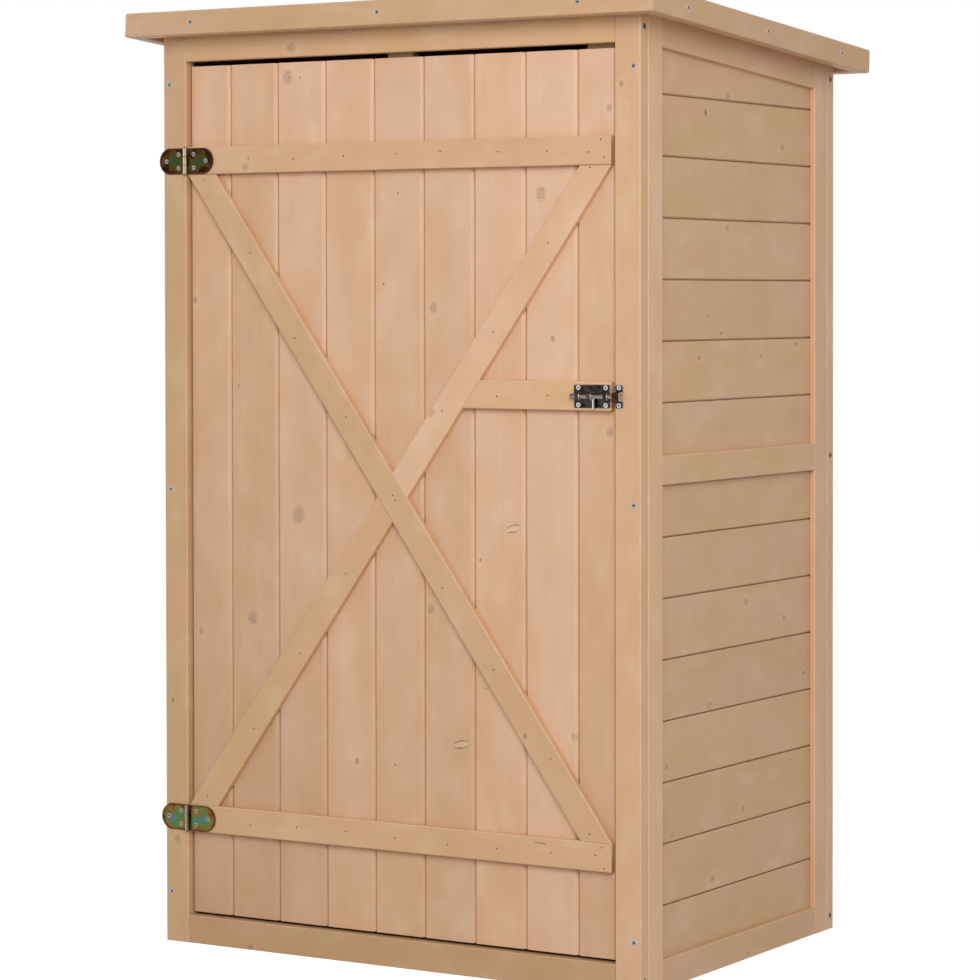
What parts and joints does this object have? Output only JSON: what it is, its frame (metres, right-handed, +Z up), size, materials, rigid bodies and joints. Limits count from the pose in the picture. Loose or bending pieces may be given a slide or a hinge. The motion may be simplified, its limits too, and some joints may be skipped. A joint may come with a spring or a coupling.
{
  "type": "garden shed",
  "caption": "Small upright garden tool shed in natural fir: framed board walls, ledged and braced door on strap-end hinges with a barrel bolt, and a roof falling to the back.",
  "frame": {"origin": "on the ground, at the middle of the overall box", "axes": "+Z up, +X to the right along the front, the door faces -Y"},
  "size_m": [0.75, 0.5538, 1.1499],
  "materials": {
    "fir_batten": "planed fir batten, clear stained, eased edges",
    "fir_board": "planed fir tongue-and-groove board, clear stained",
    "passivated_zinc": "pressed steel, zinc plated and yellow passivated",
    "nickel": "pressed steel, bright nickel plated",
    "zinc_screw": "cross-head screw, bright zinc plated",
    "felt": "bitumen roofing felt with mineral grit"
  },
  "bodies": {
    "shed": {"bolt_keep": "nickel", "bottom_hinge_frame_leaf": "passivated_zinc", "bottom_hinge_pin": "passivated_zinc", "door_stops": "fir_batten", "fascia_screws": "zinc_screw", "floor_bearers": "fir_batten", "floor_boards": "fir_board", "frame_hardware_screws": "zinc_screw", "front_left_post": "fir_batten", "front_lintel": "fir_batten", "front_right_post": "fir_batten", "front_sill": "fir_batten", "left_bottom_rail": "fir_batten", "left_front_stile": "fir_batten", "left_lower_boards": "fir_board", "left_mid_rail": "fir_batten", "left_rear_stile": "fir_batten", "left_top_rail": "fir_batten", "left_upper_boards": "fir_board", "rail_screws": "zinc_screw", "rear_boards": "fir_board", "rear_bottom_rail": "fir_batten", "rear_left_post": "fir_batten", "rear_mid_rail": "fir_batten", "rear_right_post": "fir_batten", "rear_top_rail": "fir_batten", "right_bottom_rail": "fir_batten", "right_front_stile": "fir_batten", "right_lower_boards": "fir_board", "right_mid_rail": "fir_batten", "right_rear_stile": "fir_batten", "right_top_rail": "fir_batten", "right_upper_boards": "fir_board", "roof_deck": "fir_board", "roof_edge_battens": "fir_batten", "roof_felt": "felt", "roof_front_fascia": "fir_batten", "roof_left_fascia": "fir_batten", "roof_rafters": "fir_batten", "roof_rear_fascia": "fir_batten", "roof_right_fascia": "fir_batten", "shelf_boards": "fir_board", "shelf_cleats": "fir_batten", "top_hinge_frame_leaf": "passivated_zinc", "top_hinge_pin": "passivated_zinc", "wall_screws": "zinc_screw"},
    "door": {"door_boards": "fir_board", "door_bottom_ledge": "fir_batten", "door_hardware_screws": "zinc_screw", "door_lock_ledge": "fir_batten", "door_long_brace": "fir_batten", "door_lower_half_brace": "fir_batten", "door_top_ledge": "fir_batten", "door_upper_half_brace": "fir_batten", "top_hinge_door_leaf": "passivated_zinc", "bottom_hinge_door_leaf": "passivated_zinc", "bolt_plate": "nickel"},
    "bolt": {"bolt_rod": "nickel"},
    "knob": {"bolt_knob": "nickel"}
  },
  "joints": [
    {"name": "door_swing", "type": "hinge", "parent": "shed", "child": "door", "pos_m": [-0.3045, -0.248, 0.56], "axis": [0, 0, -1], "range_deg": [0, 175]},
    {"name": "bolt_slide", "type": "slide", "parent": "door", "child": "bolt", "axis": [1, 0, 0], "range_m": [0, 0.0125]},
    {"name": "knob_turn", "type": "hinge", "parent": "bolt", "child": "knob", "pos_m": [0.2803, -0.2494, 0.6855], "axis": [-1, 0, 0], "range_deg": [0, 180]}
  ]
}
